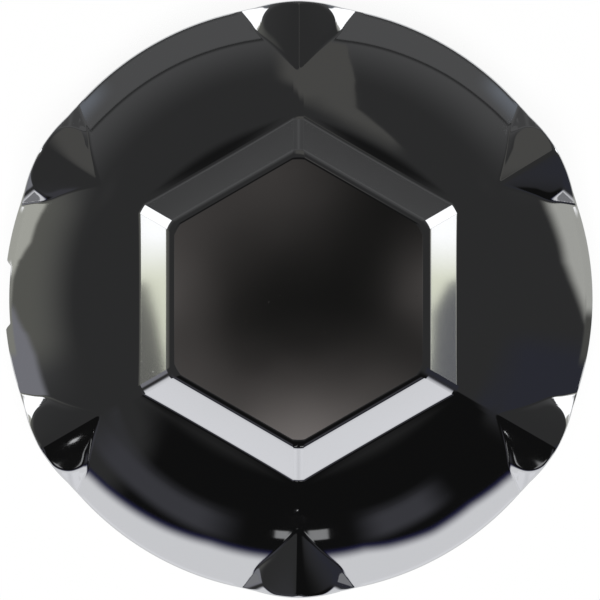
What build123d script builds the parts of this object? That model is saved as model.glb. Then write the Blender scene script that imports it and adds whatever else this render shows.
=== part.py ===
"""Push-in wheel centre cap: a plated shell with snap fingers and the spring band that spreads them.

Millimetres, +Z up. The wheel's axis is Z, the seat on the wheel is the plane Z = 0 and the front faces +Z.
"""
import math
import os

from build123d import *

# Dome and rim
rim_radius = 65.0
rim_bevel_width = 0.5
rim_bevel_height = 1.2
rim_slope = 42.0
skirt_height = 2.4
plateau_radius = 34.0
wall = 2.5

# Hexagon
panel_inradius = 27.95
bevel_angle = 43.0
bevel_width = 6.75
hip_round = 2.5
panel_bevel = 0.8

# Darts along the rim
dart_count = 6
dart_tip_radius = 51.0
dart_lead = 1.0
dart_fall = 8.5
dart_gable = 20.0
dart_flank = 42.0
dart_half_width = 7.5
dart_edge_level = 8.0
dart_end_radius = 60.0
dart_reach = 0.55
dart_nose_radius = 37.0

# Pry slot at nine o'clock
pry_depth = 1.1
pry_half_length = 6.5
pry_end_slope = 0.9
pry_offset = 1.0

# Collar and snap fingers
collar_radius = 52.6
collar_wall = 2.2
collar_height = 2.5
finger_length = 12.0
finger_count = 12
finger_slot_width = 6.0
bead_height = 0.9
bead_top = 6.5
bead_bottom = 10.5

# Retaining ring
band_thickness = 1.2
band_height = 2.4
band_clearance = 0.1
band_level = 8.5
band_sink = 0.6
band_gap_angle = 14.0

# Stiffening ribs
rib_count = 6
rib_thickness = 1.6
rib_lift = 0.8

# Lengths that follow from the ones above
slope = math.radians(rim_slope)
dome_edge_radius = rim_radius - rim_bevel_width
dome_edge_level = skirt_height + rim_bevel_height
dome_radius = (dome_edge_radius - plateau_radius) / math.sin(slope)
dome_centre_level = dome_edge_level - dome_radius * math.cos(slope)
plateau_level = dome_centre_level + dome_radius
bevel_rise = bevel_width * math.tan(math.radians(bevel_angle))
panel_level = plateau_level + bevel_rise
above_all = 2 * panel_level
collar_inner_radius = collar_radius - collar_wall
collar_mid_radius = collar_radius - collar_wall / 2


def dome_level(radius, sweep):
    """Height at a distance from the axis on a dome arc of the given radius about the shared centre."""
    return dome_centre_level + math.sqrt(sweep**2 - (radius - plateau_radius) ** 2)


def turned(outline):
    """Solid of revolution about Z of a closed outline drawn in the XZ plane."""
    return revolve(make_face(outline), axis=Axis.Z)


def outer_dome():
    """Solid dome: skirt, bevelled rim edge, falling arc and flat plateau."""
    arc_mid_radius = plateau_radius + dome_radius * math.sin(slope / 2)
    arc_mid = (arc_mid_radius, 0, dome_level(arc_mid_radius, dome_radius))
    dome_edge = (dome_edge_radius, 0, dome_edge_level)
    plateau_edge = (plateau_radius, 0, plateau_level)
    outline = [
        Line((0, 0, 0), (rim_radius, 0, 0)),
        Line((rim_radius, 0, 0), (rim_radius, 0, skirt_height)),
        Line((rim_radius, 0, skirt_height), dome_edge),
        ThreePointArc(dome_edge, arc_mid, plateau_edge),
        Line(plateau_edge, (0, 0, plateau_level)),
        Line((0, 0, plateau_level), (0, 0, 0)),
    ]
    return turned(outline)


def inner_dome(inset):
    """Solid dome at least the given distance inside the front: three cones that meet at and inside the collar."""
    hollow_radius = rim_radius - inset
    sweep = dome_radius - inset
    radii = (hollow_radius, collar_mid_radius, (collar_mid_radius + plateau_radius) / 2, plateau_radius)
    arc = [(radius, 0, dome_level(radius, sweep)) for radius in radii]
    return turned(Polyline((0, 0, 0), (hollow_radius, 0, 0), *arc, (0, 0, plateau_level - inset), close=True))


def frustum(inset):
    """Hexagonal frustum whose faces lie the given distance inside the front faces."""
    half_angle = math.radians(bevel_angle / 2)
    top_inradius = panel_inradius - inset * math.tan(half_angle)
    top_level = panel_level - inset
    height = top_level - plateau_level / 2
    foot_inradius = top_inradius + height / math.tan(math.radians(bevel_angle))
    foot = Plane.XY.offset(plateau_level / 2) * RegularPolygon(foot_inradius, 6, major_radius=False, rotation=30)
    return extrude(foot, height, taper=90 - bevel_angle)


def rounded_frustum():
    """Front frustum with rounded hips and a bevelled edge round its panel."""
    body = frustum(0)
    hips = body.edges().filter_by(lambda edge: abs(edge.tangent_at(0.5).Z) > 0.1)
    body = fillet(hips, hip_round)
    return chamfer(body.faces().sort_by(Axis.Z)[-1].edges(), panel_bevel)


def dart(inset):
    """Gabled tongue that leaves the dome at its tip: two flat roof faces, drafted flanks and a round end.

    The roof, the flanks and the end wall each lie the given distance inside the front.
    """
    fall = math.radians(dart_fall)
    flank = math.radians(dart_flank)
    along = Vector(math.cos(fall), 0, -math.sin(fall))
    up = Vector(math.sin(fall), 0, math.cos(fall))
    ridge_tip = Vector(dart_tip_radius, 0, dome_level(dart_tip_radius, dome_radius))
    drop = inset / math.cos(math.radians(dart_gable))
    section = Plane(origin=ridge_tip - along * dart_lead - up * drop, x_dir=(0, 1, 0), z_dir=along)

    half_foot = dart_half_width + (dart_edge_level - inset / math.cos(flank)) / math.tan(flank)
    eaves = half_foot * math.tan(math.radians(dart_gable))
    gable = Polyline(
        (0, 0),
        (half_foot, -eaves),
        (half_foot, -panel_level),
        (-half_foot, -panel_level),
        (-half_foot, -eaves),
        close=True,
    )
    roof = extrude(section * make_face(gable), rim_radius / 2)

    run = dart_end_radius - plateau_radius
    foot = Pos(plateau_radius + run / 2, 0, 0) * SlotCenterToCenter(run, 2 * half_foot)
    tongue = extrude(foot, plateau_level, taper=90 - dart_flank)
    nose_centre = rim_radius + dart_reach - dart_nose_radius
    nose = Cylinder(dart_nose_radius - inset, above_all, align=(Align.CENTER, Align.CENTER, Align.MIN))
    return roof & tongue & Pos(nose_centre, 0, 0) * nose


def around(body, count, first_angle):
    """Copies of a body spread evenly round the axis."""
    return [Rot(0, 0, first_angle + 360 * index / count) * body for index in range(count)]


def pry_slot():
    """Shallow relief in the rim's edge with slanting ends, for a flat blade."""
    floor_radius = rim_radius - pry_depth
    outside = rim_radius + pry_depth
    half_mouth = pry_half_length + (outside - floor_radius) * pry_end_slope
    root = dome_edge_radius - wall
    half_root = pry_half_length - (floor_radius - root) * pry_end_slope
    outline = Polyline(
        (-outside, pry_offset - half_mouth),
        (-outside, pry_offset + half_mouth),
        (-root, pry_offset + half_root),
        (-root, pry_offset - half_root),
        close=True,
    )
    wedge = extrude(make_face(outline), above_all)
    core = Cylinder(floor_radius, above_all, align=(Align.CENTER, Align.CENTER, Align.MIN))
    return wedge - core


def collar():
    """Collar with a snap bead outside and a band groove inside, slit into fingers below its root."""
    groove_radius = collar_inner_radius + band_sink + band_clearance
    groove_top = band_level - band_height / 2 - band_clearance
    groove_bottom = band_level + band_height / 2 + band_clearance
    top = dome_level(collar_radius, dome_radius) - wall / 2
    bead_peak = (bead_top + bead_bottom) / 2
    outline = Polyline(
        (collar_inner_radius, 0, top),
        (collar_radius, 0, top),
        (collar_radius, 0, -bead_top),
        (collar_radius + bead_height, 0, -bead_peak),
        (collar_radius, 0, -bead_bottom),
        (collar_radius, 0, -finger_length),
        (collar_inner_radius, 0, -finger_length),
        (collar_inner_radius, 0, -groove_bottom),
        (groove_radius, 0, -groove_bottom),
        (groove_radius, 0, -groove_top),
        (collar_inner_radius, 0, -groove_top),
        close=True,
    )
    ring = turned(outline)
    slot_height = finger_length - collar_height
    slot = Box(
        collar_radius + bead_height + wall,
        finger_slot_width,
        slot_height,
        align=(Align.MIN, Align.CENTER, Align.MAX),
    )
    return ring - around(Pos(0, 0, -collar_height) * slot, finger_count, 180 / finger_count)


def ribs():
    """Upright plates between the collar and the skirt, rooted in the middle of the wall."""
    envelope = inner_dome(wall / 2)
    plate = Box(
        rim_radius - collar_mid_radius,
        rib_thickness,
        above_all,
        align=(Align.MIN, Align.CENTER, Align.MIN),
    )
    plates = around(Pos(collar_mid_radius, 0, rib_lift) * plate, rib_count, 0)
    return [upright & envelope for upright in plates]


def cap_shell():
    """The whole moulding: front form less its hollow, plus collar, fingers and ribs."""
    dart_angle = 180 / dart_count
    front = outer_dome() + rounded_frustum()
    front += around(dart(0), dart_count, dart_angle)
    front -= pry_slot()
    hollow = inner_dome(wall) + frustum(wall)
    hollow += around(dart(wall), dart_count, dart_angle)
    shell = front - hollow
    shell += collar()
    shell += ribs()
    return shell


def retaining_ring():
    """Flat spring band bent to an open ring that lies in the fingers' groove."""
    mid_radius = collar_inner_radius + band_sink - band_thickness / 2
    section_plane = Plane(origin=(mid_radius, 0, -band_level), x_dir=(1, 0, 0), z_dir=(0, 1, 0))
    section = section_plane * Rectangle(band_thickness, band_height)
    band = revolve(section, axis=Axis.Z, revolution_arc=360 - band_gap_angle)
    return Rot(0, 0, band_gap_angle / 2) * band


def main():
    os.makedirs("parts", exist_ok=True)
    export_step(cap_shell(), "parts/cap_shell.step")
    export_step(retaining_ring(), "parts/retaining_ring.step")


main()
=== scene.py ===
"""Dresses a push-in wheel centre cap, its plated shell, snap collar and spring band, in a plain studio."""
import math

import bmesh
import bpy
import numpy as np
from bpy.props import FloatProperty, FloatVectorProperty, PointerProperty
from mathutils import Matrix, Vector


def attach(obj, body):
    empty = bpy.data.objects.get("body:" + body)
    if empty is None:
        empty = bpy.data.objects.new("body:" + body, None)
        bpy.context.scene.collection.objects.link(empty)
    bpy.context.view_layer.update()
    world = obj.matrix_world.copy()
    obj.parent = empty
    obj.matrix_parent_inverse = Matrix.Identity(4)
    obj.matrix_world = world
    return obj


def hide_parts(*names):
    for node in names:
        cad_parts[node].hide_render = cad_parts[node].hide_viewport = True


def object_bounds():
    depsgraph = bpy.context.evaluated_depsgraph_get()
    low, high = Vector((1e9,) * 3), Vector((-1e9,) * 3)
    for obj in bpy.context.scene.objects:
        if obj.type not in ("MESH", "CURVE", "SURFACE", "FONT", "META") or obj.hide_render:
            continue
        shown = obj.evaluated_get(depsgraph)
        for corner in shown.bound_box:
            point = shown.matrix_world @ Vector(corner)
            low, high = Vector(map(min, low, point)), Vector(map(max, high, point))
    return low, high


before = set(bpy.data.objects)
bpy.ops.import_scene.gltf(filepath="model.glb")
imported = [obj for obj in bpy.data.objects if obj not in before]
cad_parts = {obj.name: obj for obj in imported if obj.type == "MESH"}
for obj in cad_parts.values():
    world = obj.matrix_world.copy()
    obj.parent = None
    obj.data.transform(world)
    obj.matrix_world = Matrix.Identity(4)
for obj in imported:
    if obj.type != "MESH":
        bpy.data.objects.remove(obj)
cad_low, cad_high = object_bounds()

bl_info = {
    "name": "Wheel centre cap",
    "version": (1, 0, 0),
    "blender": (4, 5, 0),
    "location": "View3D > Sidebar > Cap",
    "description": "Builds the surfaces, finishes and studio of a plated wheel centre cap",
    "category": "Add Mesh",
}

# Units and symmetry
METRE = 0.001
ROOT = "root"
SECTORS = 6
SECTOR = math.tau / SECTORS
DART_ANGLE = SECTOR / 2
TINY = 1e-6

# Hexagon: lift of the dome at its corners, and angle at which a corner's circle begins
PAD_SHARE = 0.45
CORNER_BREAK = math.radians(21.5)

# Darts: share of slope that the flanks lose toward the tip, and where along the dart they lose it
FLANK_EASE = 0.35
FLANK_EASE_START = 2.5
FLANK_EASE_RUN = 4.5
DART_LEAD = 1.0
NOSE_HALF_WIDTH = 11.5
NOSE_FADE = 4.0

# Rim and back
PRY_END_SLOPE = 0.9
STEEPEST_EDGE = math.radians(80.0)
SLOPE_STEP = 0.05
INNER_CORNER = 2.0
INNER_FOOT_INSET = 1.5
INNER_PANEL_INSET = 1.0
INNER_MIDDLE = 2.0
BELOW_ALL = -99.0
SHARP_CORNER = math.radians(38.0)

# Columns of the shell's grid
DENSE_HALF = math.radians(11.5)
DENSE_COLUMNS = 87
WIDE_COLUMNS = 12
BREAK_TURN = math.radians(1.3)
BREAK_GAP = 0.0005
PRY_COLUMNS = np.radians(np.linspace(172.0, 187.0, 41))
ANGLE_DIGITS = 6

# Rows of the shell's grid, as shares of a stretch or as counts
PANEL_SHARES = np.array([0.25, 0.5, 0.75, 0.97, 0.993, 1.0])[:, None]
BEVEL_SHARES = np.array([0.015, 0.05, 0.5, 0.95, 0.985, 1.0])[:, None]
ROUND_ROWS = 9
HOLLOW_ROWS = 6
MORPH_ROWS = 12
DART_ROWS = 60
ROLL_ROWS = 6
SKIRT_ROWS = 3
EDGE_ROWS = 2
BACK_DART_ROWS = 10
BACK_DOME_ROWS = 4
BACK_BEVEL_ROWS = 5
BACK_PANEL_ROWS = 5

# Rounds that find the bevel's foot and the slope at the edge
FOOT_ROUNDS = 8
SLOPE_ROUNDS = 6

# Collar, ribs and band
FINGERS = 12
FINGER_COLUMNS = 13
FINGER_ROOT = 0.4
COLLAR_COLUMNS = 180
RIB_COLUMNS = 9
RIB_LEAST_HEIGHT = 0.2
BAND_COLUMNS = 241
BAND_EDGE_POINTS = 4


def linear(code):
    """Linear red, green and blue of an sRGB hex colour."""
    parts = np.array([int(code[i : i + 2], 16) / 255 for i in (1, 3, 5)])
    return tuple(np.where(parts <= 0.04045, parts / 12.92, ((parts + 0.055) / 1.055) ** 2.4).tolist())


def a_length(name, description, millimetres):
    """A length that shows in the user's units."""
    default = millimetres * METRE
    return FloatProperty(name=name, description=description, default=default, unit="LENGTH", precision=5)


def an_angle(name, description, degrees):
    """An angle given in degrees."""
    return FloatProperty(name=name, description=description, default=math.radians(degrees), subtype="ANGLE")


def a_colour(name, description, code):
    """A colour given as an sRGB hex value."""
    default = linear(code)
    return FloatVectorProperty(name=name, description=description, default=default, subtype="COLOR", size=3)


class CapSizes(bpy.types.PropertyGroup):
    """Sizes of the cap."""

    rim_radius: a_length("Rim radius", "Outer radius of the dome", 65.0)
    rim_bevel_width: a_length("Rim bevel width", "Width of the rim's edge in plan", 0.5)
    rim_bevel_height: a_length("Rim bevel height", "Height of the rim's edge above the skirt", 1.2)
    rim_roll: a_length("Rim roll", "Rounding of the edge between dome and skirt", 0.35)
    rim_slope: an_angle("Rim slope", "Slope of the dome at the rim's edge", 42.0)
    skirt_height: a_length("Skirt height", "Upright edge under the rim", 2.4)
    plateau_radius: a_length("Plateau radius", "Radius inside which the dome is flat", 34.0)
    wall: a_length("Wall", "Thickness of the wall", 2.5)
    panel_inradius: a_length("Panel inradius", "Centre to flat of the panel before rounding", 27.95)
    panel_round: a_length("Panel edge round", "Rounding between panel and bevel", 2.5)
    panel_corner: a_length("Panel corner", "Rounding of the panel's corners in plan", 9.5)
    bevel_width: a_length("Bevel width", "Width of the bevel in plan", 6.75)
    bevel_angle: an_angle("Bevel angle", "Slope of the bevel", 43.0)
    corner_round: a_length("Corner round", "Rounding of the bevel's corners in plan", 7.5)
    foot_round: a_length("Foot round", "Hollow rounding between bevel and dome", 1.2)
    dart_tip: a_length("Dart tip radius", "Distance of a dart's tip from the axis", 50.5)
    dart_fall: an_angle("Dart fall", "Slope of a dart's ridge", 9.0)
    dart_gable: an_angle("Dart gable", "Slope of a dart's roof beside its ridge", 19.5)
    dart_crease: a_length("Dart crease", "Rounding of the ridge", 0.4)
    dart_bow: a_length("Dart bow", "Radius of a dart's roof seen from the side", 250.0)
    dart_bulge: a_length("Dart bulge", "Radius of a dart's roof faces across the ridge", 80.0)
    dart_half_width: a_length("Dart half width", "Half width of a dart's roof", 8.0)
    dart_flank: an_angle("Dart flank", "Slope of a dart's drafted flanks", 41.5)
    dart_edge_level: a_length("Dart edge level", "Height of the edge between roof and flank", 8.25)
    dart_edge_round: a_length("Dart edge round", "Rounding between roof and flank, as a height", 0.3)
    dart_end: a_length("Dart end radius", "Distance from the axis of a round end's centre", 58.9)
    dart_reach: a_length("Dart reach", "How far a dart stands out past the rim", 0.55)
    dart_nose: a_length("Dart nose radius", "Radius of a dart's end in plan", 37.0)
    dart_nose_round: a_length("Dart nose round", "Rounding of a dart's end edge", 0.5)
    dart_blend: a_length("Dart blend", "Height of the hollow blend between dart and dome", 0.14)
    pry_depth: a_length("Pry slot depth", "Depth of the pry slot in the rim", 1.1)
    pry_half_length: a_length("Pry slot half length", "Half length of the pry slot's floor", 6.5)
    pry_offset: a_length("Pry slot offset", "Shift of the pry slot along the rim", 1.0)
    collar_radius: a_length("Collar radius", "Outer radius of the collar", 52.6)
    collar_wall: a_length("Collar wall", "Thickness of the collar", 2.2)
    collar_height: a_length("Collar height", "Unslit height of the collar under the seat", 2.5)
    finger_length: a_length("Finger length", "Reach of the fingers under the seat", 12.0)
    finger_slot: a_length("Finger slot", "Width of the slots between fingers", 6.0)
    bead_height: a_length("Bead height", "How far the bead stands out", 0.9)
    bead_top: a_length("Bead top", "Depth of the bead's upper end under the seat", 6.5)
    bead_bottom: a_length("Bead bottom", "Depth of the bead's lower end under the seat", 10.5)
    band_level: a_length("Band level", "Depth of the band under the seat", 8.5)
    band_thickness: a_length("Band thickness", "Thickness of the band", 1.2)
    band_height: a_length("Band height", "Height of the band", 2.4)
    band_edge: a_length("Band edge", "Rounding of the band's edges", 0.25)
    band_gap: an_angle("Band gap", "Opening between the band's ends", 14.0)
    band_clearance: a_length("Band clearance", "Gap between band and groove", 0.1)
    band_sink: a_length("Band sink", "How deep the band lies in its groove", 0.6)
    rib_thickness: a_length("Rib thickness", "Thickness of the ribs", 1.6)
    rib_lift: a_length("Rib lift", "Gap between ribs and seat", 0.8)


class CapColours(bpy.types.PropertyGroup):
    """Colours of the cap's finishes and of the floor."""

    plating: a_colour("Chrome plating", "Face colour of the bright plating", "#c6c7c9")
    back: a_colour("Back plating", "Colour of the thin plating behind", "#a7a8aa")
    spring: a_colour("Spring steel", "Colour of the spring band", "#8d8c88")
    floor: a_colour("Floor", "Colour of the studio floor", "#f4f4f3")


def ease(share):
    """Smooth step from 0 to 1: three squares less two cubes of the share."""
    share = np.clip(share, 0.0, 1.0)
    return share * share * (3 - 2 * share)


def soft_join(first, second, width):
    """Soft maximum of two heights, blended over a width, or soft minimum for a negative width."""
    share = np.clip(0.5 + 0.5 * (second - first) / width, 0.0, 1.0)
    return first + (second - first) * share + width * share * (1 - share)


def between(start, end, count):
    """Evenly spaced values from start to end along a new first axis, leaving the start out."""
    shares = np.linspace(0.0, 1.0, count + 1)[1:]
    start = np.asarray(start, float)
    end = np.asarray(end, float)
    return start + (end - start) * shares.reshape(-1, *([1] * np.broadcast(start, end).ndim))


def off_flat(angle):
    """Turn from the middle of the hexagon's nearest flat."""
    return (angle + DART_ANGLE) % SECTOR - DART_ANGLE


def off_dart(angle):
    """Turn from the nearest dart, and so from the hexagon's nearest corner."""
    return angle % SECTOR - DART_ANGLE


class Form:
    """Sizes of the cap in millimetres, with the heights and outlines that follow from them."""

    def __init__(self, sizes):
        for name in CapSizes.__annotations__:
            value = getattr(sizes, name)
            is_angle = sizes.bl_rna.properties[name].subtype == "ANGLE"
            setattr(self, name, value if is_angle else value / METRE)
        edge_radius = self.rim_radius - self.rim_bevel_width
        edge_level = self.skirt_height + self.rim_bevel_height
        self.dome_radius = (edge_radius - self.plateau_radius) / math.sin(self.rim_slope)
        self.centre_level = edge_level - self.dome_radius * math.cos(self.rim_slope)
        self.plateau_level = self.centre_level + self.dome_radius
        self.panel_level = self.plateau_level + self.bevel_width * math.tan(self.bevel_angle)
        self.dart_start = self.dart_tip - DART_LEAD
        self.collar_inner = self.collar_radius - self.collar_wall

    def dome(self, radius, inset=0.0):
        """Height of the dome: flat inside the plateau, then a circular arc falling outward."""
        run = np.maximum(radius - self.plateau_radius, 0.0)
        sweep = self.dome_radius - inset
        return self.centre_level + np.sqrt(np.maximum(sweep**2 - run**2, 0.0))

    def pad(self, angle):
        """Share taken off a radius toward the hexagon's corners, which lifts the dome there.

        It grows with one less the cosine of the turn from the flat's middle.
        """
        return PAD_SHARE * (1 - np.cos(off_flat(angle)))

    def break_turn(self, inradius, corner):
        """Turn from a hexagon's corner to its break, where the flat meets the corner's circle.

        The rest of the half sector has the flat's half length over its inradius as its tangent.
        """
        along = (inradius - corner * math.cos(CORNER_BREAK)) * math.tan(DART_ANGLE)
        along = along + corner * math.sin(CORNER_BREAK)
        return DART_ANGLE - np.arctan(along / inradius)

    def hexagon(self, angle, inradius, corner):
        """Radius of a rounded hexagon: a straight flat, then a circle that meets it at an angle."""
        turn = np.abs(off_flat(angle))
        straight = inradius / np.cos(turn)
        centre = (inradius - corner * math.cos(CORNER_BREAK)) / math.cos(DART_ANGLE)
        across = centre * np.sin(turn - DART_ANGLE)
        rounded = centre * np.cos(turn - DART_ANGLE) + np.sqrt(np.maximum(corner**2 - across**2, 0.0))
        return np.where(DART_ANGLE - turn >= self.break_turn(inradius, corner), straight, rounded)

    def onto_break(self, angle, inradius, corner):
        """Column angles stretched evenly beside a hexagon's corners, so that a column falls on each break."""
        turn = off_dart(angle)
        aside = np.abs(turn)
        target = self.break_turn(inradius, corner)
        near = aside * target / BREAK_TURN
        far = target + (aside - BREAK_TURN) * (DART_ANGLE - target) / (DART_ANGLE - BREAK_TURN)
        return angle + np.sign(turn) * (np.where(aside <= BREAK_TURN, near, far) - aside)

    def dart(self, radius, angle, inset=0.0):
        """Height of the nearest dart: the lower of its gabled roof and its drafted flank, softly joined.

        The roof falls along its ridge and to either side of it, bulges a little and is rounded at the
        ridge. The flank falls with the distance from the tongue's middle line or, past its end's centre,
        from that centre, and is less steep toward the tip.
        """
        turn = off_dart(angle)
        along = radius * np.cos(turn)
        across = np.abs(radius * np.sin(turn))
        run = along - self.dart_tip
        ridge = float(self.dome(self.dart_tip)) - run * math.tan(self.dart_fall)
        ridge = ridge + run * (self.rim_radius - self.dart_tip - run) / (2 * self.dart_bow)
        aside = np.sqrt(across**2 + self.dart_crease**2) - self.dart_crease
        roof = ridge - aside * math.tan(self.dart_gable)
        roof = roof + across * (self.dart_half_width - across) / (2 * self.dart_bulge)
        roof = roof - inset / math.cos(self.dart_fall) / math.cos(self.dart_gable)

        eased = ease((self.dart_end + FLANK_EASE_START - along) / FLANK_EASE_RUN)
        steep = math.tan(self.dart_flank) * (1 - FLANK_EASE * eased)
        spread = np.hypot(np.maximum(along - self.dart_end, 0.0), across)
        flank = self.dart_edge_level + (self.dart_half_width - spread) * steep
        flank = flank - inset / math.cos(self.dart_flank)

        return soft_join(flank, roof, -self.dart_edge_round)

    def front(self, radius, angle):
        """Height of dome and darts together: a soft maximum of the two that leaves a hollow blend."""
        return soft_join(self.dome(radius), self.dart(radius, angle), self.dart_blend)

    def hollow(self, radius, angle):
        """Height of the wall's back: the highest of dome, darts and hexagon, each one wall inside."""
        dart = np.where(radius > self.dart_start, self.dart(radius, angle, self.wall), BELOW_ALL)
        top_inradius = self.panel_inradius - self.wall * math.tan(self.bevel_angle / 2)
        top_level = self.panel_level - self.wall
        past_top = radius * np.cos(off_flat(angle)) - top_inradius
        bevel = np.minimum(top_level, top_level - past_top * math.tan(self.bevel_angle))
        bevel = np.where(radius < self.dart_start, bevel, BELOW_ALL)
        return np.maximum(np.maximum(self.dome(radius, self.wall), dart), bevel)

    def outline(self, angle, inset=0.0):
        """Radius of the cap's edge: the larger of rim circle and dart nose, cut back at the pry slot."""
        turn = off_dart(angle)
        centre = self.rim_radius + self.dart_reach - self.dart_nose
        nose = centre * np.cos(turn) + np.sqrt((self.dart_nose - inset) ** 2 - (centre * np.sin(turn)) ** 2)
        edge = np.maximum(self.rim_radius - inset, nose)
        along = self.rim_radius * np.sin(math.pi - angle) - self.pry_offset
        ramp = np.maximum(np.abs(along) - self.pry_half_length, 0.0) / PRY_END_SLOPE
        slot = self.rim_radius - self.pry_depth + ramp
        facing = np.cos(angle) < 0
        return np.where(facing & (inset == 0.0), np.minimum(edge, slot), edge)


def columns():
    """Angles of the grid's columns: close together over each dart and the pry slot, wider between.

    Three columns on either side of each hexagon corner are kept for the break of its outline.
    """
    dense = np.linspace(-DENSE_HALF, DENSE_HALF, DENSE_COLUMNS)
    wide = np.linspace(DENSE_HALF, DART_ANGLE, WIDE_COLUMNS)[1:-1]
    beside = BREAK_TURN + BREAK_GAP * np.arange(-1.0, 2.0)
    offsets = np.concatenate([-wide[::-1], dense, wide, [DART_ANGLE], beside, -beside])
    angles = (DART_ANGLE + SECTOR * np.arange(SECTORS))[:, None] + offsets[None, :]
    angles = np.concatenate([angles.ravel() % math.tau, PRY_COLUMNS])
    return np.unique(np.round(angles, ANGLE_DIGITS))


class Rings:
    """Rows of the shell's grid, from the panel's middle over the rim to the hollow's middle."""

    def __init__(self):
        self.angle = columns()
        self.turns = []
        self.radii = []
        self.heights = []
        self.sides = []

    def add(self, radius, height, behind=False, turned=None):
        """Adds rows of radius and height, on the columns' own angles unless others are given."""
        radius = np.atleast_2d(radius) * np.ones_like(self.angle)
        self.turns.append(np.broadcast_to(self.angle if turned is None else turned, radius.shape))
        self.radii.append(radius)
        self.heights.append(np.broadcast_to(height, radius.shape))
        self.sides.append(np.full(len(radius), int(behind), np.int32))

    def points(self):
        """Places of all points: the radius turned by the angle about Z, at the height."""
        angle = np.concatenate(self.turns)
        radius = np.concatenate(self.radii)
        height = np.concatenate(self.heights)
        return np.stack([radius * np.cos(angle), radius * np.sin(angle), height], -1)


def hexagon_rings(rings, form):
    """Adds the panel, its rounding, the bevel and the hollow at its foot, as rounded hexagons.

    The rounding is an arc that tilts from level to the bevel's slope. The bevel runs straight down to the
    dome, and the hollow is an arc back to level. Gives the foot's inradius at each column, and the last
    ring's radius and angle.
    """
    angle = rings.angle
    half = math.tan(form.bevel_angle / 2)
    steep = math.tan(form.bevel_angle)
    flat = form.panel_inradius - form.panel_round * half
    turn = form.onto_break(angle, flat, form.panel_corner)
    rings.add(PANEL_SHARES * form.hexagon(turn, flat, form.panel_corner), form.panel_level, turned=turn)

    tilt = between(0.0, form.bevel_angle, ROUND_ROWS)[:, None]
    inradius = flat + form.panel_round * np.sin(tilt)
    corner = form.panel_corner + (form.corner_round - form.panel_corner) * tilt / form.bevel_angle
    turn = form.onto_break(angle, inradius, corner)
    level = form.panel_level - form.panel_round * (1 - np.cos(tilt))
    rings.add(form.hexagon(turn, inradius, corner), level, turned=turn)

    bevel_top = inradius[-1, 0]
    foot = form.panel_inradius + form.bevel_width * np.ones_like(angle)
    for _ in range(FOOT_ROUNDS):
        turn = form.onto_break(angle, foot, form.corner_round)
        level = form.dome(form.hexagon(turn, foot, form.corner_round) * (1 - form.pad(turn)))
        foot = form.panel_inradius + (form.panel_level - level) / steep
    tangent = form.foot_round * half
    bevel = bevel_top + (foot - tangent * math.cos(form.bevel_angle) - bevel_top) * BEVEL_SHARES
    turn = form.onto_break(angle, bevel, form.corner_round)
    level = form.panel_level - (bevel - form.panel_inradius) * steep
    rings.add(form.hexagon(turn, bevel, form.corner_round), level, turned=turn)

    tilt = between(form.bevel_angle, 0.0, HOLLOW_ROWS)[:, None]
    inradius = foot + tangent - form.foot_round * np.sin(tilt)
    turn = form.onto_break(angle, inradius, form.corner_round)
    radius = form.hexagon(turn, inradius, form.corner_round)
    level = form.dome(radius * (1 - form.pad(turn))) + form.foot_round * (1 - np.cos(tilt))
    rings.add(radius, level, turned=turn)
    return foot, radius[-1], turn[-1]


def dome_rings(rings, form, hexagon_radius, hexagon_turn):
    """Adds the dome, the darts, the rolled edge and the skirt, and gives the edge's radius at each column.

    The rings change from the hexagon to a circle before the darts begin, then to the outline. The roll is
    an arc from the front's own slope at the edge to upright.
    """
    angle = rings.angle
    ones = np.ones_like(angle)
    radius = between(hexagon_radius, form.dart_start * ones, MORPH_ROWS)
    turn = between(hexagon_turn, angle, MORPH_ROWS)
    fading = 1 - ease(between(0.0, 1.0, MORPH_ROWS))[:, None]
    rings.add(radius, form.dome(radius * (1 - form.pad(turn) * fading)), turned=turn)

    edge = form.outline(angle)
    on_dart = ease((NOSE_HALF_WIDTH - np.abs(form.rim_radius * np.sin(off_dart(angle)))) / NOSE_FADE)
    roll = form.rim_roll + (form.dart_nose_round - form.rim_roll) * on_dart
    slope = form.rim_slope * ones
    for _ in range(SLOPE_ROUNDS):
        last = edge - roll * (1 - np.sin(slope))
        slope = np.arctan((form.front(last - SLOPE_STEP, angle) - form.front(last, angle)) / SLOPE_STEP)
        slope = np.clip(slope, 0.0, STEEPEST_EDGE)
    last = edge - roll * (1 - np.sin(slope))
    radius = between(form.dart_start * ones, last, DART_ROWS)
    rings.add(radius, form.front(radius, angle))

    tilt = between(slope, math.pi / 2 * ones, ROLL_ROWS)
    level = form.front(last, angle) - roll * np.cos(slope)
    rings.add(edge - roll * (1 - np.sin(tilt)), level + roll * np.cos(tilt))
    rings.add(edge * np.ones((SKIRT_ROWS, 1)), between(level, 0.0 * ones, SKIRT_ROWS))
    return edge


def back_rings(rings, form, edge, foot):
    """Adds the seat, the skirt's inner face and the hollow behind darts, dome, bevel and panel."""
    angle = rings.angle
    ones = np.ones_like(angle)
    inner_edge = form.outline(angle, form.wall)
    rings.add(between(edge, inner_edge, EDGE_ROWS), 0.0, behind=True)
    rise = between(0.0 * ones, form.hollow(inner_edge, angle), EDGE_ROWS)
    rings.add(inner_edge * np.ones((EDGE_ROWS, 1)), rise, behind=True)
    dome = form.dart_start * ones
    bevel = form.hexagon(angle, foot - INNER_FOOT_INSET, INNER_CORNER)
    panel = form.hexagon(angle, form.panel_inradius - INNER_PANEL_INSET, INNER_CORNER)
    stretches = [
        between(inner_edge, dome, BACK_DART_ROWS),
        between(dome, bevel, BACK_DOME_ROWS),
        between(bevel, panel, BACK_BEVEL_ROWS),
        between(panel, INNER_MIDDLE * ones, BACK_PANEL_ROWS),
    ]
    radius = np.concatenate(stretches)
    rings.add(radius, form.hollow(radius, angle), behind=True)


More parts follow.
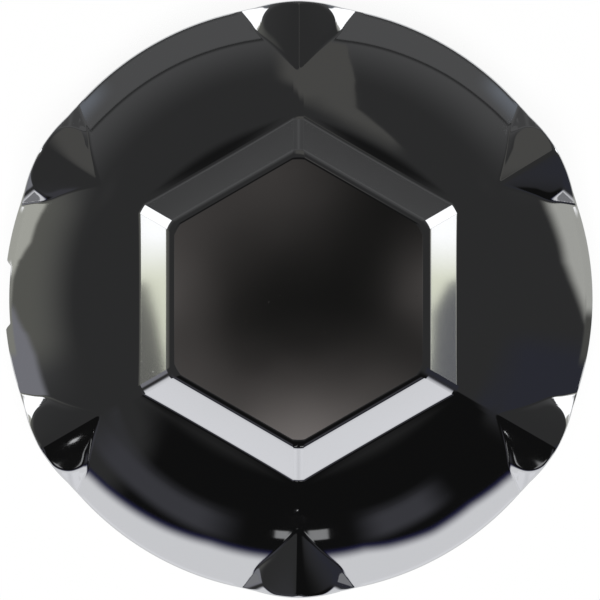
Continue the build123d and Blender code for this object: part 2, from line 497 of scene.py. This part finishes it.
def grid_quads(rows, count, closed):
    """Quads of a grid as an array of corner numbers. Closed joins each row's end to its start."""
    row = np.arange(rows - 1)[:, None] * count
    here = np.arange(count if closed else count - 1)[None, :]
    there = (here + 1) % count
    return np.stack([row + here, row + count + here, row + count + there, row + there], -1).reshape(-1, 4)


def swept(profile, angles, closed):
    """Body of a profile of radius and height carried round the axis, with flat ends unless closed.

    A body is its points and its groups of faces. A group is an array of corner numbers, one face to a row.
    """
    count = len(profile)
    radius = profile[None, :, 0]
    height = profile[None, :, 1] + 0 * angles[:, None]
    points = np.stack([radius * np.cos(angles)[:, None], radius * np.sin(angles)[:, None], height], -1)
    quads = grid_quads(len(angles), count, True)
    here = np.arange(count)
    last = (len(angles) - 1) * count
    if closed:
        there = (here + 1) % count
        ends = np.stack([last + here, here, there, last + there], -1)
    else:
        ends = np.stack([here, (last + here)[::-1]])
    return points.reshape(-1, 3), [quads, ends]


def joined(bodies):
    """Points and faces of several bodies as one: corner numbers move past the bodies before."""
    starts = np.cumsum([0] + [len(points) for points, _ in bodies])
    faces = []
    for (_, groups), start in zip(bodies, starts):
        for group in groups:
            faces.extend((group + start).tolist())
    return np.concatenate([points for points, _ in bodies]), faces


def put_mesh(name, points, faces, materials, indices=None):
    """New object from points in millimetres and lists of faces, smooth with its sharp corners kept."""
    mesh = bpy.data.meshes.new(name)
    mesh.from_pydata((points * METRE).tolist(), [], faces)
    mesh.update()
    for material in materials:
        mesh.materials.append(material)
    if indices is not None:
        mesh.polygons.foreach_set("material_index", indices)
    mesh.polygons.foreach_set("use_smooth", np.ones(len(mesh.polygons), bool))
    mesh.set_sharp_from_angle(angle=SHARP_CORNER)
    piece = bpy.data.objects.new(name, mesh)
    bpy.context.scene.collection.objects.link(piece)
    return piece


def outward(piece):
    """Turns the faces of a closed piece outward."""
    mesh = bmesh.new()
    mesh.from_mesh(piece.data)
    bmesh.ops.recalc_face_normals(mesh, faces=mesh.faces)
    mesh.to_mesh(piece.data)
    mesh.free()


def add_node(tree, kind, inputs=None, **settings):
    """Adds a node, sets its settings and fills or links its inputs."""
    node = tree.nodes.new(kind)
    for name, value in settings.items():
        setattr(node, name, value)
    for name, value in (inputs or {}).items():
        if isinstance(value, bpy.types.NodeSocket):
            tree.links.new(value, node.inputs[name])
        else:
            node.inputs[name].default_value = value
    return node


def new_material(name):
    """Empty node material and its node tree."""
    material = bpy.data.materials.new(name)
    material.use_nodes = True
    tree = material.node_tree
    tree.nodes.clear()
    return material, tree


def finished(material, kind, inputs):
    """The material with its last shader added and sent to its surface."""
    tree = material.node_tree
    shader = add_node(tree, kind, inputs)
    add_node(tree, "ShaderNodeOutputMaterial", {"Surface": shader.outputs[0]})
    return material


# Finishes: pattern sizes and depths in millimetres, and the roughness at either end of a pattern
CHROME = "chrome plating over ABS"
RIPPLE_SIZE = 18.18
RIPPLE_DETAIL = 1.0
RIPPLE_STRENGTH = 0.02
RIPPLE_DEPTH = 1.0
DUST_SIZE = 1.111
DUST_DETAIL = 2.0
DUST_START = 0.74
DUST_FULL = 0.84
CLEAN_ROUGHNESS = 0.045
DUSTY_ROUGHNESS = 0.16

BACK_PLATING = "satin back plating over ABS"
GRAIN_SIZE = 0.7143
GRAIN_DETAIL = 3.0
GRAIN_STRENGTH = 0.15
GRAIN_DEPTH = 0.2
BACK_ROUGHNESS = (0.28, 0.5)

SPRING_STEEL = "rolled spring steel strip"
BLOTCH_SIZE = 1.4286
BLOTCH_DETAIL = 2.0
STEEL_ROUGHNESS = (0.25, 0.45)


def noise_scale(millimetres):
    """Scale of a noise whose blotches have the given size: how many of them lie along a metre."""
    return 1 / (millimetres * METRE)


def chrome_plating(colours):
    """Bright chrome plating over moulded ABS: a mirror with the mould's faint ripple and dull specks of dust.

    Real dust is finer. It is drawn this coarse so that it shows.
    """
    material, tree = new_material(CHROME)
    place = add_node(tree, "ShaderNodeTexCoord").outputs["Object"]
    waves = {"Vector": place, "Scale": noise_scale(RIPPLE_SIZE), "Detail": RIPPLE_DETAIL}
    ripple = add_node(tree, "ShaderNodeTexNoise", waves)
    specks = {"Vector": place, "Scale": noise_scale(DUST_SIZE), "Detail": DUST_DETAIL}
    dust = add_node(tree, "ShaderNodeTexNoise", specks)
    dulling = {
        "Value": dust.outputs["Fac"],
        "From Min": DUST_START,
        "From Max": DUST_FULL,
        "To Min": CLEAN_ROUGHNESS,
        "To Max": DUSTY_ROUGHNESS,
    }
    roughness = add_node(tree, "ShaderNodeMapRange", dulling)
    relief = {"Height": ripple.outputs["Fac"], "Strength": RIPPLE_STRENGTH, "Distance": RIPPLE_DEPTH * METRE}
    bump = add_node(tree, "ShaderNodeBump", relief)
    finish = {
        "Base Color": (*colours.plating, 1.0),
        "Metallic": 1.0,
        "Roughness": roughness.outputs["Result"],
        "Normal": bump.outputs["Normal"],
    }
    return finished(material, "ShaderNodeBsdfPrincipled", finish)


def back_plating(colours):
    """Thin plating on the unpolished back of the moulding: satin, with the mould's texture showing.

    The texture is drawn coarser than the real one so that it shows.
    """
    material, tree = new_material(BACK_PLATING)
    place = add_node(tree, "ShaderNodeTexCoord").outputs["Object"]
    texture = {"Vector": place, "Scale": noise_scale(GRAIN_SIZE), "Detail": GRAIN_DETAIL}
    grain = add_node(tree, "ShaderNodeTexNoise", texture).outputs["Fac"]
    dulling = {"Value": grain, "To Min": BACK_ROUGHNESS[0], "To Max": BACK_ROUGHNESS[1]}
    roughness = add_node(tree, "ShaderNodeMapRange", dulling)
    relief = {"Height": grain, "Strength": GRAIN_STRENGTH, "Distance": GRAIN_DEPTH * METRE}
    bump = add_node(tree, "ShaderNodeBump", relief)
    finish = {
        "Base Color": (*colours.back, 1.0),
        "Metallic": 1.0,
        "Roughness": roughness.outputs["Result"],
        "Normal": bump.outputs["Normal"],
    }
    return finished(material, "ShaderNodeBsdfPrincipled", finish)


def spring_steel(colours):
    """Rolled spring steel strip: grey, with blotches of dull zinc that blur its shine."""
    material, tree = new_material(SPRING_STEEL)
    place = add_node(tree, "ShaderNodeTexCoord").outputs["Object"]
    zinc = {"Vector": place, "Scale": noise_scale(BLOTCH_SIZE), "Detail": BLOTCH_DETAIL}
    blotches = add_node(tree, "ShaderNodeTexNoise", zinc).outputs["Fac"]
    dulling = {"Value": blotches, "To Min": STEEL_ROUGHNESS[0], "To Max": STEEL_ROUGHNESS[1]}
    roughness = add_node(tree, "ShaderNodeMapRange", dulling).outputs["Result"]
    finish = {"Base Color": (*colours.spring, 1.0), "Metallic": 1.0, "Roughness": roughness}
    return finished(material, "ShaderNodeBsdfPrincipled", finish)


def finish_named(name, maker):
    """The named finish, made on first use."""
    return bpy.data.materials.get(name) or maker(bpy.context.scene.cap_colours)


class CAP_OT_plated_shell(bpy.types.Operator):
    """Builds the plated shell with its hexagon, darts, rim and hollow"""

    bl_idname = "cap.plated_shell"
    bl_label = "Plated shell"

    def execute(self, context):
        form = Form(context.scene.cap_sizes)
        rings = Rings()
        foot, hexagon_radius, hexagon_turn = hexagon_rings(rings, form)
        edge = dome_rings(rings, form, hexagon_radius, hexagon_turn)
        back_rings(rings, form, edge, foot)

        grid = rings.points()
        rows, count, _ = grid.shape
        middles = [[0.0, 0.0, form.panel_level], [0.0, 0.0, form.panel_level - form.wall]]
        points = np.concatenate([grid.reshape(-1, 3), middles])
        quads = grid_quads(rows, count, True)
        here = np.arange(count)
        there = (here + 1) % count
        last = (rows - 1) * count
        panel_fan = np.stack([np.full(count, rows * count), here, there], -1)
        hollow_fan = np.stack([np.full(count, rows * count + 1), last + there, last + here], -1)
        sides = np.repeat(np.concatenate(rings.sides)[1:], count)
        indices = np.concatenate([sides, np.zeros(count, np.int32), np.ones(count, np.int32)])
        faces = quads.tolist() + panel_fan.tolist() + hollow_fan.tolist()
        materials = [finish_named(CHROME, chrome_plating), finish_named(BACK_PLATING, back_plating)]
        piece = put_mesh("plated_shell", points, faces, materials, indices)
        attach(piece, ROOT)
        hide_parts("cap_shell")
        return {"FINISHED"}


def collar_root(form):
    """Unslit part of the collar: an upright rectangle carried round the axis."""
    top = float(form.dome(form.collar_radius)) - form.wall / 2
    foot = -form.collar_height
    inner = form.collar_inner
    outer = form.collar_radius
    profile = np.array([(inner, top), (outer, top), (outer, foot), (inner, foot)])
    return swept(profile, np.linspace(0, math.tau, COLLAR_COLUMNS + 1)[:-1], True)


def snap_fingers(form):
    """Fingers of the collar: a profile with a bead outside and a groove inside, carried over short arcs."""
    inner = form.collar_inner
    outer = form.collar_radius
    top = FINGER_ROOT - form.collar_height
    peak = (form.bead_top + form.bead_bottom) / 2
    groove_radius = inner + form.band_sink + form.band_clearance
    groove_half = form.band_height / 2 + form.band_clearance
    groove_low = -form.band_level - groove_half
    groove_high = -form.band_level + groove_half
    profile = np.array(
        [
            (inner, top),
            (outer, top),
            (outer, -form.bead_top),
            (outer + form.bead_height, -peak),
            (outer, -form.bead_bottom),
            (outer, -form.finger_length),
            (inner, -form.finger_length),
            (inner, groove_low),
            (groove_radius, groove_low),
            (groove_radius, groove_high),
            (inner, groove_high),
        ]
    )
    half = math.pi / FINGERS - math.asin(form.finger_slot / 2 / outer)
    bodies = []
    for middle in math.tau * np.arange(FINGERS) / FINGERS:
        bodies.append(swept(profile, np.linspace(middle - half, middle + half, FINGER_COLUMNS), False))
    return bodies


def stiffening_ribs(form):
    """Upright plates from collar to skirt: the outline under the dome, set off to both sides of a radius."""
    start = form.collar_radius - form.collar_wall / 2
    end = form.rim_radius - form.wall / 2
    run = np.linspace(start, end, RIB_COLUMNS)
    upper = form.dome(run, form.wall / 2)
    lower = np.minimum(form.rib_lift, upper - RIB_LEAST_HEIGHT)
    radius = np.concatenate([run, run[::-1]])
    height = np.concatenate([lower, upper[::-1]])
    count = len(radius)
    aside = np.array([-form.rib_thickness / 2, form.rib_thickness / 2])[:, None]
    quads = grid_quads(len(aside), count, True)
    ends = np.stack([np.arange(count), np.arange(count, 2 * count)[::-1]])
    bodies = []
    for turn in math.tau * np.arange(SECTORS) / SECTORS:
        x = radius * math.cos(turn) - aside * math.sin(turn)
        y = radius * math.sin(turn) + aside * math.cos(turn)
        z = height + 0 * aside
        bodies.append((np.stack([x, y, z], -1).reshape(-1, 3), [quads, ends]))
    return bodies


class CAP_OT_snap_collar(bpy.types.Operator):
    """Builds the collar, its snap fingers and the ribs behind the dome"""

    bl_idname = "cap.snap_collar"
    bl_label = "Snap collar and ribs"

    def execute(self, context):
        form = Form(context.scene.cap_sizes)
        points, faces = joined([collar_root(form), *snap_fingers(form), *stiffening_ribs(form)])
        piece = put_mesh("snap_collar", points, faces, [finish_named(BACK_PLATING, back_plating)])
        outward(piece)
        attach(piece, ROOT)
        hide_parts("cap_shell")
        return {"FINISHED"}


def spring_band(form):
    """Open band: a rectangle with rounded corners, carried round the axis except over the gap."""
    centre = form.collar_inner + form.band_sink - form.band_thickness / 2
    quarter = np.linspace(0.0, math.pi / 2, BAND_EDGE_POINTS)
    turn = (quarter + math.pi / 2 * np.arange(4)[:, None]).ravel()
    corner_x = np.repeat([1, -1, -1, 1], BAND_EDGE_POINTS) * (form.band_thickness / 2 - form.band_edge)
    corner_z = np.repeat([1, 1, -1, -1], BAND_EDGE_POINTS) * (form.band_height / 2 - form.band_edge)
    radius = centre + corner_x + form.band_edge * np.cos(turn)
    height = corner_z + form.band_edge * np.sin(turn) - form.band_level
    angles = np.linspace(form.band_gap / 2, math.tau - form.band_gap / 2, BAND_COLUMNS)
    return swept(np.stack([radius, height], -1), angles, False)


class CAP_OT_spring_ring(bpy.types.Operator):
    """Builds the open spring band that lies inside the fingers"""

    bl_idname = "cap.spring_ring"
    bl_label = "Spring band"

    def execute(self, context):
        form = Form(context.scene.cap_sizes)
        points, faces = joined([spring_band(form)])
        piece = put_mesh("spring_ring", points, faces, [finish_named(SPRING_STEEL, spring_steel)])
        outward(piece)
        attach(piece, ROOT)
        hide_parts("retaining_ring")
        return {"FINISHED"}


# Camera: picture width, rim radius and shift of the middle in pixels, and place in metres
PICTURE_PIXELS = 600
RIM_PIXELS = 293.8
SHIFT_PIXELS = (1.44, -0.65)
SENSOR_WIDTH = 36.0
CAMERA_DISTANCE = 0.9
CAMERA_FOCUS_LEVEL = 0.002
CLIP_RANGE = (0.05, 100.0)

# Floor and lamp, in metres, watts and radians
FLOOR_HALF = 30.0
FLOOR_GLOW_SHARE = 0.92
WHITE = (1.0, 1.0, 1.0, 1.0)
LAMP_POWER = 66.0
LAMP_SIZE = 1.2
LAMP_PLACE = (0.0, -0.6, 2.4)
LAMP_TILT = math.radians(14.0)

# Grids of the light banks
SCREEN_COLUMNS = 97
SCREEN_ROWS = 65
DISC_COLUMNS = 65
DISC_ROWS = 31
DISC_SOFT = 14.0

# Discs over the cap: name, height and reach in millimetres, glows and colour
LENS_DARK = [(0.0, 0.0, 1000.0, 1.0)]
LENS_GLOWS = [
    (0.0, -76.0, 32.0, 0.30),
    (-54.0, -44.0, 24.0, 0.09),
    (-68.0, 4.0, 26.0, 0.12),
    (-52.0, 40.0, 24.0, 0.045),
    (-12.0, 58.0, 32.0, 0.065),
    (68.0, 6.0, 20.0, 0.12),
    (42.0, -50.0, 24.0, 0.07),
]
DISCS = [
    ("lens_dark", 1002.0, 80.0, LENS_DARK, "#1a1a19"),
    ("lens_glow", 1000.0, 92.0, LENS_GLOWS, "#fff4ee"),
]

# Cards: name, place along X, points along Y, lower and upper edge, fade, colour and strength
CARD = (-120.0, 170.0)
CARD_TOP = (8.0, 26.0, 400.0)
TOP_FADE = (0.0, 1.0, 1.0)
FOOT_LEFT = (8.0, 7.0, -6.0, -27.0, -45.0, -120.0)
FOOT_LEFT_EDGE = (30.0, 42.0, 45.5, 50.5, 53.0, 53.0)
FOOT_RIGHT = (8.0, 7.0, 0.0, -6.0, -28.0, -120.0)
FOOT_RIGHT_EDGE = (30.0, 42.0, 47.0, 50.0, 51.5, 52.5)
CARDS = [
    ("card_left", -804.0, CARD, 34.0, 56.0, 1.0, "#fdffe8", 1.25),
    ("card_left_top", -802.0, CARD_TOP, 34.0, 56.0, TOP_FADE, "#ffffff", 1.8),
    ("card_left_foot", -800.0, FOOT_LEFT, 30.0, FOOT_LEFT_EDGE, 1.0, "#fffff4", 0.2),
    ("card_right", 804.0, CARD, 34.0, 56.0, 1.0, "#fdffe8", 1.25),
    ("card_right_top", 802.0, CARD_TOP, 34.0, 56.0, TOP_FADE, "#ffffff", 1.8),
    ("card_right_foot", 800.0, FOOT_RIGHT, 30.0, FOOT_RIGHT_EDGE, 1.0, "#f6f8ff", 0.2),
]


def both_sides(name, distance, azimuths, *rest):
    """Two screens, the left one as given and the right one mirrored about the Y axis."""
    mirrored = tuple(180 - azimuth for azimuth in reversed(azimuths))
    return [(name + "_left", distance, azimuths, *rest), (name + "_right", distance, mirrored, *rest)]


# Edges of the screens: azimuths, and the elevation of the edge at each, in degrees
FOLD = (36, 48, 80, 100, 135, 150)
FOLD_EDGE = (15.0, 17.5, 23.0, 23.0, 20.5, 18.0)
FOLD_SHADE_WIDTH = 2.5
FOLD_SHADE_EDGE = np.add(FOLD_EDGE, FOLD_SHADE_WIDTH)
LOBE = (55, 65, 71, 75, 79.3, 97)
LOBE_FOOT = (72, 66, 61, 49, 25, 25)
LOBE_EDGE = (80, 80, 78, 74, 66, 56)
LOW = (211, 220, 230, 240, 250, 285, 290, 300, 310, 320, 329)
LOW_EDGE = (14.0, 19.5, 22.5, 25.5, 29.0, 29.5, 26.5, 22.5, 22.5, 17.5, 12.0)
LOW_FRINGE_WIDTH = 2.0
LOW_FRINGE_EDGE = np.add(LOW_EDGE, LOW_FRINGE_WIDTH)
LEFT = (152, 160, 164, 168, 172, 176, 182)
LEFT_EDGE = (21.0, 20.5, 18.2, 17.6, 11.5, 8.0, 7.0)
LEFT_LOW = (180, 184, 188, 192, 200, 209)
LEFT_LOW_EDGE = (9.0, 13.0, 19.0, 22.0, 22.0, 20.0)
RIGHT = (-7, -4, 0, 4, 8, 12, 20, 25)
RIGHT_EDGE = (5.0, 9.5, 15.0, 20.0, 23.7, 24.0, 26.0, 26.0)

# Screens: name, distance in metres, azimuths, lower and upper edge, soft widths, colour and strength
SCREENS = [
    ("tent_roof", 4.0, (-180, 180), -3, 90, (0, 0, 0), "#ffffff", 0.041),
    ("tent_upper", 3.9, (20, 208), -3, 50, (25, 34, 0), "#ffffff", 0.105),
    ("fold_shade", 3.86, FOLD, FOLD_EDGE, FOLD_SHADE_EDGE, (6, 2, 0), "#ffffff", 0.035),
    ("fold_upper", 3.84, FOLD, -3, FOLD_EDGE, (8, 0.6, 0), "#ffffff", 0.118),
    ("lobe", 3.82, LOBE, LOBE_FOOT, LOBE_EDGE, (5, 12, 1.5), "#fffdf6", 0.105),
    ("roof_shade", 3.84, (25, 155), 75, 90, (25, 0, 6), "#ffffff", 0.012),
    ("tent_low", 3.85, (222, 332), 16, 88, (8, 14, 0), "#ffffff", 0.008),
    ("gap_right", 3.83, (326, 354), -3, 64, (8, 26, 0), "#dde1ff", 0.052),
    ("arc_left", 3.8, (208, 258), 27, 52, (14, 10, 8), "#f0f0ff", 0.075),
    ("arc_right", 3.8, (282, 310), 27, 52, (10, 10, 8), "#f0f0ff", 0.075),
    ("lamp_left", 3.78, (264, 268), 38, 43.5, (0.6, 0.8, 0.8), "#ffffff", 0.36),
    ("lamp_right", 3.78, (272, 277.5), 37, 44, (0.6, 0.8, 0.8), "#ffffff", 0.34),
    ("lamp_middle", 3.78, (266.9, 268.7), 47.3, 48.6, (0.3, 0.3, 0.3), "#ffffff", 0.8),
    ("bank_low_fringe", 3.5, LOW, -3, LOW_FRINGE_EDGE, (4, 3, 0), "#8c8cf0", 0.07),
    ("bank_low", 3.4, LOW, -3, LOW_EDGE, (4, 8, 0), "#f9f9fb", 1.05),
    ("glow_left", 3.4, (150, 198), -3, 50, (10, 34, 0), "#fffff2", 0.15),
    ("bank_left", 3.2, LEFT, -3, LEFT_EDGE, (3, 4, 0), "#fffff2", 0.60),
    ("bank_left_low", 3.3, LEFT_LOW, -3, LEFT_LOW_EDGE, (3, 6, 0), "#eeeef8", 0.32),
    ("bank_right", 3.2, RIGHT, -3, RIGHT_EDGE, (3, 10, 0), "#fffff6", 0.58),
    ("patch_left", 3.3, (130, 148), -3, 17, (7, 14, 0), "#e6eefa", 0.26),
    ("patch_right", 3.3, (33, 52), -3, 17, (7, 14, 0), "#e6eefa", 0.26),
    *both_sides("white", 3.1, (141, 159), -3, 22, (2, 3, 0), "#ffffff", 1.9),
    *both_sides("mid_white", 0.6, (143.5, 157), -3, 16, (0.3, 2, 0), "#ffffff", 1.9),
    *both_sides("near_white", 0.2, (141, 159), -3, 13, (0.3, 2, 0), "#ffffff", 1.9),
    *both_sides("near_grey_outer", 0.2, (200, 220), -5, 8.5, (0.5, 1.5, 0), "#fafaff", 0.30),
    *both_sides("near_grey", 0.15, (201, 219), -5, 10, (0.5, 1.5, 0), "#fafaff", 0.30),
    ("rim_left", 0.08, (161, 174), -3, 5, (2, 1, 0), "#fffff2", 0.57),
    ("rim_left_low", 0.08, (174, 192), -3, 5, (2, 1, 0), "#fffff2", 0.32),
    ("rim_right", 0.08, (-4, 19), -3, 5, (3, 1, 0), "#fffff6", 0.56),
    ("rim_right_low", 0.082, (-14, 2), -3, 5, (3, 1, 0), "#fffff6", 0.1),
    ("hip_top", 2.9, (79.8, 100.2), 4, 18, (0.6, 4, 0.5), "#ffffff", 0.085),
    ("hip_low", 2.9, (259.8, 280.2), 4, 16, (0.6, 4, 0.5), "#fcfcff", 1.13),
    ("hip_top_glow", 2.85, (86, 94), 4, 18, (4, 4, 0.5), "#ffffff", 0.115),
    ("hip_low_shade", 2.85, (265, 275), 4, 16, (5, 4, 0.5), "#fcfcff", 0.98),
    ("horizon_upper", 3.0, (32, 148), -3, 3.4, (4, 1.6, 0), "#ffffff", 0.075),
    ("horizon_low", 3.0, (211, 329), -3, 3.4, (4, 1.6, 0), "#fcfcff", 1.14),
]


def glow_material(name, code, strength):
    """Glowing cloth of a light bank whose edges fade out with the bank's own fade attribute."""
    material, tree = new_material(name)
    fade = add_node(tree, "ShaderNodeAttribute", attribute_name="fade")
    glow = add_node(tree, "ShaderNodeEmission", {"Color": (*linear(code), 1.0), "Strength": strength})
    clear = add_node(tree, "ShaderNodeBsdfTransparent")
    inputs = {0: fade.outputs["Fac"], 1: clear.outputs[0], 2: glow.outputs[0]}
    return finished(material, "ShaderNodeMixShader", inputs)


def put_bank(name, points, fade, code, strength):
    """Light bank from a grid of points in metres with a fade value at each point."""
    mesh = bpy.data.meshes.new(name)
    mesh.from_pydata(points.reshape(-1, 3).tolist(), [], grid_quads(*fade.shape, False).tolist())
    attribute = mesh.attributes.new("fade", "FLOAT", "POINT")
    attribute.data.foreach_set("value", fade.ravel().astype(np.float32))
    mesh.materials.append(glow_material(name, code, strength))
    piece = bpy.data.objects.new(name, mesh)
    bpy.context.scene.collection.objects.link(piece)
    piece.visible_camera = False
    piece.visible_shadow = False


def screen(name, distance, azimuths, lows, highs, soft, code, strength):
    """Bank on a sphere: a patch whose lower and upper edges are elevations at the listed azimuths.

    Its sides, top and foot fade out over the three soft widths, all in degrees.
    """
    azimuth = np.linspace(azimuths[0], azimuths[-1], SCREEN_COLUMNS)[None, :]
    low = np.interp(azimuth, azimuths, np.broadcast_to(lows, len(azimuths)))
    high = np.interp(azimuth, azimuths, np.broadcast_to(highs, len(azimuths)))
    elevation = low + (high - low) * np.linspace(0.0, 1.0, SCREEN_ROWS)[:, None]
    side, top, foot = np.array(soft, float) + TINY
    inside = np.minimum(azimuth - azimuths[0], azimuths[-1] - azimuth)
    fade = ease((inside + TINY) / side)
    fade = fade * ease((high - elevation + TINY) / top)
    fade = fade * ease((elevation - low + TINY) / foot)
    round_axis = np.radians(azimuth + 0 * elevation)
    upward = np.radians(elevation)
    level = np.cos(upward)
    direction = np.stack([level * np.cos(round_axis), level * np.sin(round_axis), np.sin(upward)], -1)
    put_bank(name, distance * direction, fade, code, strength)


def card(name, distance, along, low, high, fade, code, strength):
    """Flat upright card across X, given by its lower and upper edge at points along Y, in millimetres."""
    along = np.array(along, float)
    low = np.array(low, float) + 0 * along
    high = np.array(high, float) + 0 * along
    fade = np.array(fade, float) + 0 * along
    place = np.full((2, len(along)), distance)
    points = np.stack([place, np.stack([along, along]), np.stack([low, high])], -1)
    put_bank(name, points * METRE, np.stack([fade, fade]), code, strength)


def disc(name, height, reach, glows, code):
    """Round card above the cap that faces down: the sum of a few soft round glows, fading out at its edge.

    Each glow is a middle in X and Y, a spread and a level, in millimetres and parts of full white.
    """
    ring = np.linspace(0.0, reach, DISC_ROWS)[:, None]
    turn = np.linspace(0.0, math.tau, DISC_COLUMNS)[None, :]
    x = ring * np.cos(turn)
    y = ring * np.sin(turn)
    middle_x, middle_y, width, level = np.array(glows, float).T[:, :, None, None]
    glow = (level * np.exp(-((x - middle_x) ** 2 + (y - middle_y) ** 2) / width**2)).sum(axis=0)
    glow = glow * ease((reach - ring) / DISC_SOFT)
    put_bank(name, np.stack([x, y, height + 0 * x], -1) * METRE, glow, code, 1.0)


def floor_material(colour):
    """Pale matt floor, white to the camera and in reflections, that still takes some of the shadow."""
    material, tree = new_material("pale studio floor")
    paths = add_node(tree, "ShaderNodeLightPath").outputs
    seen = paths["Is Camera Ray"]
    for ray in ("Is Glossy Ray", "Is Transmission Ray"):
        larger = add_node(tree, "ShaderNodeMath", {0: seen, 1: paths[ray]}, operation="MAXIMUM")
        seen = larger.outputs[0]
    share = add_node(tree, "ShaderNodeMath", {0: seen, 1: FLOOR_GLOW_SHARE}, operation="MULTIPLY")
    matt = add_node(tree, "ShaderNodeBsdfDiffuse", {"Color": (*colour, 1.0)})
    glow = add_node(tree, "ShaderNodeEmission", {"Color": WHITE, "Strength": 1.0})
    inputs = {0: share.outputs[0], 1: matt.outputs[0], 2: glow.outputs[0]}
    return finished(material, "ShaderNodeMixShader", inputs)


def put_floor(scene):
    """Square floor under the cap's lowest point."""
    level = cad_low[2]
    corners = [(x * FLOOR_HALF, y * FLOOR_HALF, level) for x, y in ((-1, -1), (1, -1), (1, 1), (-1, 1))]
    mesh = bpy.data.meshes.new("studio_floor")
    mesh.from_pydata(corners, [], [(0, 1, 2, 3)])
    mesh.materials.append(floor_material(scene.cap_colours.floor))
    floor = bpy.data.objects.new("studio_floor", mesh)
    scene.collection.objects.link(floor)


def put_lights(scene):
    """White world and one broad lamp from above, which the plating doesn't mirror."""
    world = bpy.data.worlds.new("studio world")
    scene.world = world
    world.use_nodes = True
    backdrop = world.node_tree.nodes["Background"]
    backdrop.inputs["Color"].default_value = WHITE
    backdrop.inputs["Strength"].default_value = 1.0

    lamp = bpy.data.lights.new("key_lamp", "AREA")
    lamp.energy = LAMP_POWER
    lamp.size = LAMP_SIZE
    holder = bpy.data.objects.new("key_lamp", lamp)
    holder.location = LAMP_PLACE
    holder.rotation_euler = (LAMP_TILT, 0.0, 0.0)
    holder.visible_glossy = False
    scene.collection.objects.link(holder)


def put_camera(scene):
    """Camera on the axis whose lens gives the rim its radius in pixels."""
    camera = bpy.data.cameras.new("front_camera")
    camera.sensor_width = SENSOR_WIDTH
    view_width = PICTURE_PIXELS / RIM_PIXELS * scene.cap_sizes.rim_radius
    camera.lens = SENSOR_WIDTH * CAMERA_DISTANCE / view_width
    camera.shift_x = SHIFT_PIXELS[0] / PICTURE_PIXELS
    camera.shift_y = SHIFT_PIXELS[1] / PICTURE_PIXELS
    camera.clip_start, camera.clip_end = CLIP_RANGE
    viewer = bpy.data.objects.new("front_camera", camera)
    viewer.location = (0.0, 0.0, CAMERA_DISTANCE + CAMERA_FOCUS_LEVEL)
    scene.collection.objects.link(viewer)
    scene.camera = viewer


class CAP_OT_studio(bpy.types.Operator):
    """Sets up the floor, the light banks and the camera"""

    bl_idname = "cap.studio"
    bl_label = "Studio"

    def execute(self, context):
        scene = context.scene
        put_floor(scene)
        for settings in SCREENS:
            screen(*settings)
        for settings in CARDS:
            card(*settings)
        for settings in DISCS:
            disc(*settings)
        put_lights(scene)
        put_camera(scene)
        scene.view_settings.view_transform = "Standard"
        return {"FINISHED"}


class CAP_PT_panel(bpy.types.Panel):
    """Lists the steps that build the cap, its sizes and its colours"""

    bl_idname = "CAP_PT_panel"
    bl_label = "Wheel centre cap"
    bl_space_type = "VIEW_3D"
    bl_region_type = "UI"
    bl_category = "Cap"

    def draw(self, context):
        for step in STEPS:
            self.layout.operator(step.bl_idname)
        for name in CapSizes.__annotations__:
            self.layout.prop(context.scene.cap_sizes, name)
        for name in CapColours.__annotations__:
            self.layout.prop(context.scene.cap_colours, name)


STEPS = (CAP_OT_plated_shell, CAP_OT_snap_collar, CAP_OT_spring_ring, CAP_OT_studio)
CLASSES = (CapSizes, CapColours, *STEPS, CAP_PT_panel)


def register():
    for item in CLASSES:
        bpy.utils.register_class(item)
    bpy.types.Scene.cap_sizes = PointerProperty(type=CapSizes)
    bpy.types.Scene.cap_colours = PointerProperty(type=CapColours)


def unregister():
    del bpy.types.Scene.cap_colours
    del bpy.types.Scene.cap_sizes
    for item in reversed(CLASSES):
        bpy.utils.unregister_class(item)


def main():
    register()
    bpy.ops.cap.plated_shell()
    bpy.ops.cap.snap_collar()
    bpy.ops.cap.spring_ring()
    bpy.ops.cap.studio()


if __name__ == "__main__":
    main()
